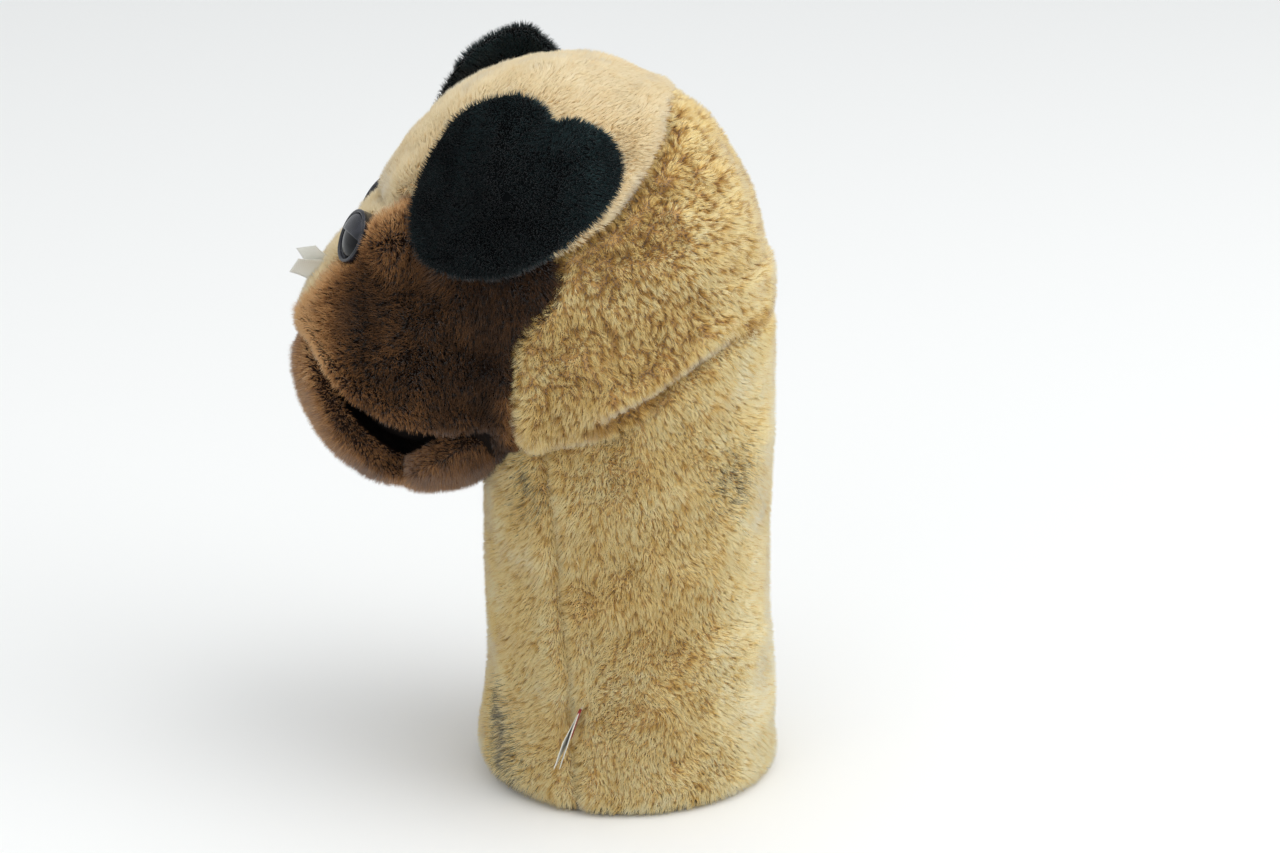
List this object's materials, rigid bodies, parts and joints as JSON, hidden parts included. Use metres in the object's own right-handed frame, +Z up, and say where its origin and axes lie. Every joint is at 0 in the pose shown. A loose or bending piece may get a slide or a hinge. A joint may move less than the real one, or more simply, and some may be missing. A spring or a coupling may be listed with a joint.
{
  "type": "driver head cover",
  "caption": "Plush golf driver head cover: a padded sleeve that stands on its open end, with a stuffed dog's head whose ears, jaw and labels move, over a pocket for the club head.",
  "frame": {"origin": "centre of the sleeve's open end, on the plane that the cover stands on", "axes": "+Z up along the sleeve to the head, -Y the way the dog looks, +X the dog's left"},
  "size_m": [0.1688, 0.2034, 0.311],
  "materials": {
    "tan_plush": "matte cut-pile plush",
    "crown_plush": "matte cut-pile plush",
    "brown_plush": "matte cut-pile plush",
    "black_plush": "matte cut-pile plush",
    "mouth_cloth": "matte woven",
    "lining_cloth": "matte knitted",
    "stuffing": "loose fibre",
    "seam_thread": "matte",
    "hem_tape": "matte woven",
    "elastic": "matte",
    "eye_plastic": "gloss",
    "nose_plastic": "satin",
    "washer_plastic": "matte",
    "label_satin": "satin ribbon"
  },
  "bodies": {
    "neck": {"hem_binding": "hem_tape", "sleeve_lining": "lining_cloth", "neck_wadding": "stuffing", "throat_elastic": "elastic", "neck_front_panel": "tan_plush", "neck_back_panel": "tan_plush", "left_side_seam": "seam_thread", "right_side_seam": "seam_thread"},
    "head": {"crown_panel": "crown_plush", "left_side_panel": "tan_plush", "right_side_panel": "tan_plush", "back_seam": "seam_thread", "left_flew_panel": "brown_plush", "right_flew_panel": "brown_plush", "bridge_panel": "crown_plush", "pocket_lining": "lining_cloth", "left_head_padding": "stuffing", "right_head_padding": "stuffing", "left_muzzle_stuffing": "stuffing", "right_muzzle_stuffing": "stuffing", "mouth_roof": "mouth_cloth", "left_eye": "eye_plastic", "right_eye": "eye_plastic", "left_eye_washer": "washer_plastic", "right_eye_washer": "washer_plastic", "nose": "nose_plastic", "nose_washer": "washer_plastic"},
    "jaw": {"jaw_panel": "brown_plush", "jaw_stuffing": "stuffing", "mouth_floor": "mouth_cloth"},
    "left_ear": {"left_ear_plush": "black_plush", "left_ear_lining": "black_plush", "left_ear_root_seam": "black_plush"},
    "right_ear": {"right_ear_plush": "black_plush", "right_ear_lining": "black_plush", "right_ear_root_seam": "black_plush"},
    "care_label": {"care_label": "label_satin"},
    "face_label": {"face_label": "label_satin"}
  },
  "joints": [
    {"name": "head_nod", "type": "hinge", "parent": "neck", "child": "head", "pos_m": [0, 0, 0.15], "axis": [1, 0, 0], "range_deg": [-6, 12], "stiffness_Nm_per_rad": 3},
    {"name": "jaw_open", "type": "hinge", "parent": "head", "child": "jaw", "pos_m": [0, -0.072, 0.158], "axis": [1, 0, 0], "range_deg": [0, 12], "stiffness_Nm_per_rad": 0.3, "springref_deg": -2.86},
    {"name": "left_ear_flap", "type": "hinge", "parent": "head", "child": "left_ear", "pos_m": [0.048, -0.032, 0.29903], "axis": [0, -1, 0], "range_deg": [0, 70]},
    {"name": "right_ear_flap", "type": "hinge", "parent": "head", "child": "right_ear", "pos_m": [-0.048, -0.032, 0.29903], "axis": [0, 1, 0], "range_deg": [0, 70]},
    {"name": "care_label_flap", "type": "hinge", "parent": "neck", "child": "care_label", "pos_m": [0.05899, -0.02096, 0.0435], "axis": [0, 0, 1], "range_deg": [-60, 60]},
    {"name": "face_label_flap", "type": "hinge", "parent": "head", "child": "face_label", "pos_m": [0.01, -0.12514, 0.22251], "axis": [0, -0.6427, -0.7661], "range_deg": [-15, 60]}
  ]
}
